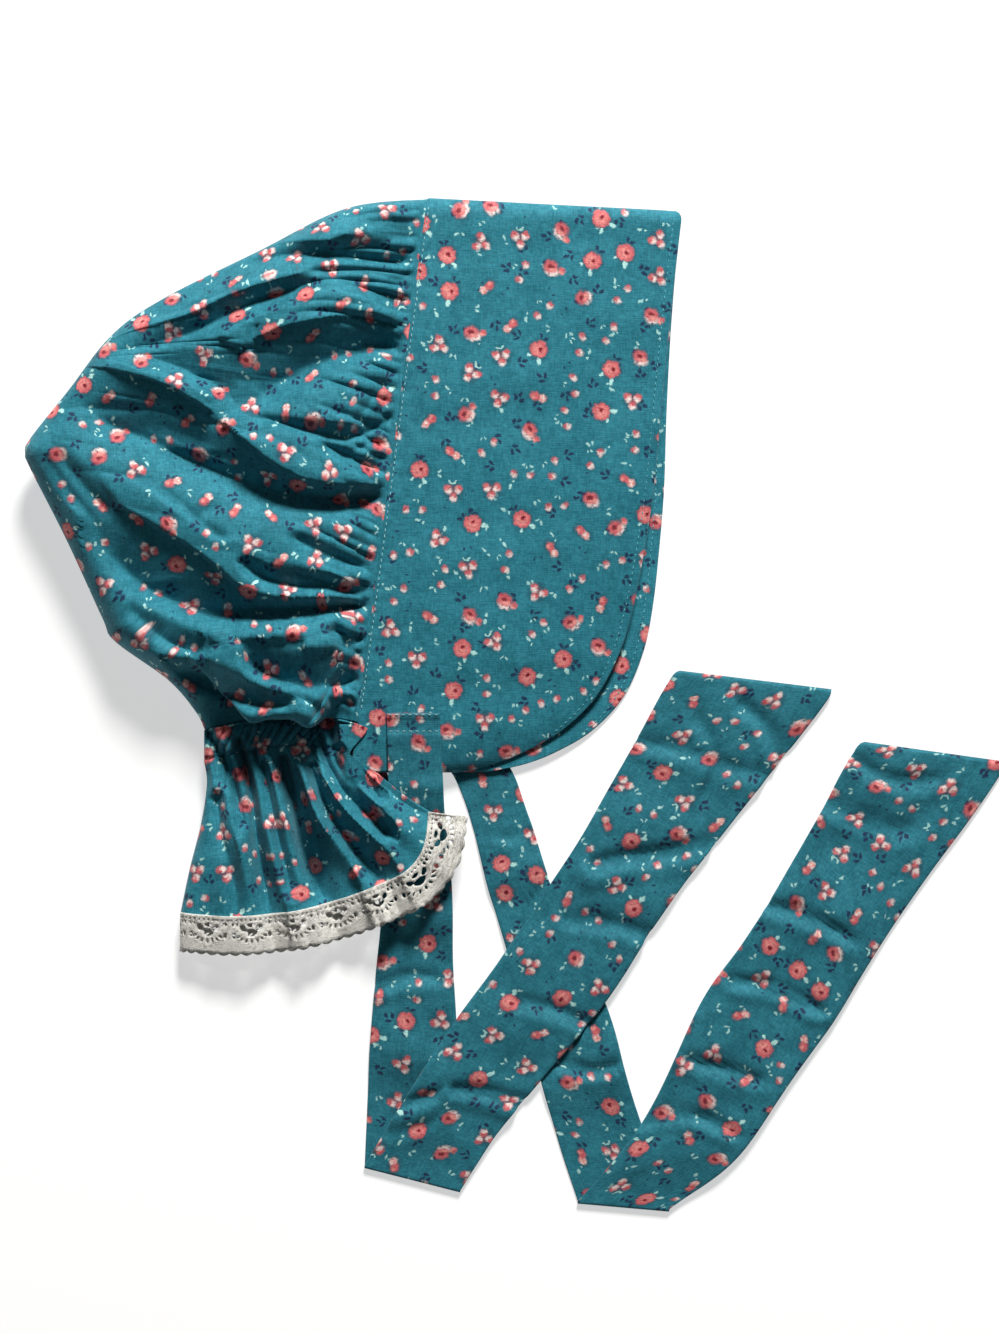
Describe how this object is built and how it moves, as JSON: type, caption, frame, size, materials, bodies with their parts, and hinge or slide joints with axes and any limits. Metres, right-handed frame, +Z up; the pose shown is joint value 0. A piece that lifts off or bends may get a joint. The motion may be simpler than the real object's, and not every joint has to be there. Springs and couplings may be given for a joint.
{
  "type": "sunbonnet",
  "caption": "Cotton sunbonnet lying on its side: stiff folded brim, gathered crown, elastic neck casing, ruffled curtain with a lace hem, and a pair of long ties.",
  "frame": {"origin": "on the surface that the bonnet lies on, under the middle of its whole outline", "axes": "+Z up from the surface; +Y towards the top of the head; +X towards the face opening"},
  "size_m": [0.5462, 0.566, 0.054],
  "materials": {
    "printed_cotton": "plain woven teal cotton with a small ditsy flower print",
    "brim_cotton": "the same printed cotton, stiffened and topstitched",
    "cotton_lace": "cream cotton bobbin lace"
  },
  "bodies": {
    "root": {"brim": "brim_cotton", "crown": "printed_cotton", "neck_casing": "printed_cotton", "neck_ruffle": "printed_cotton", "lace_trim": "cotton_lace", "tie_near": "printed_cotton", "tie_far": "printed_cotton"}
  },
  "joints": []
}
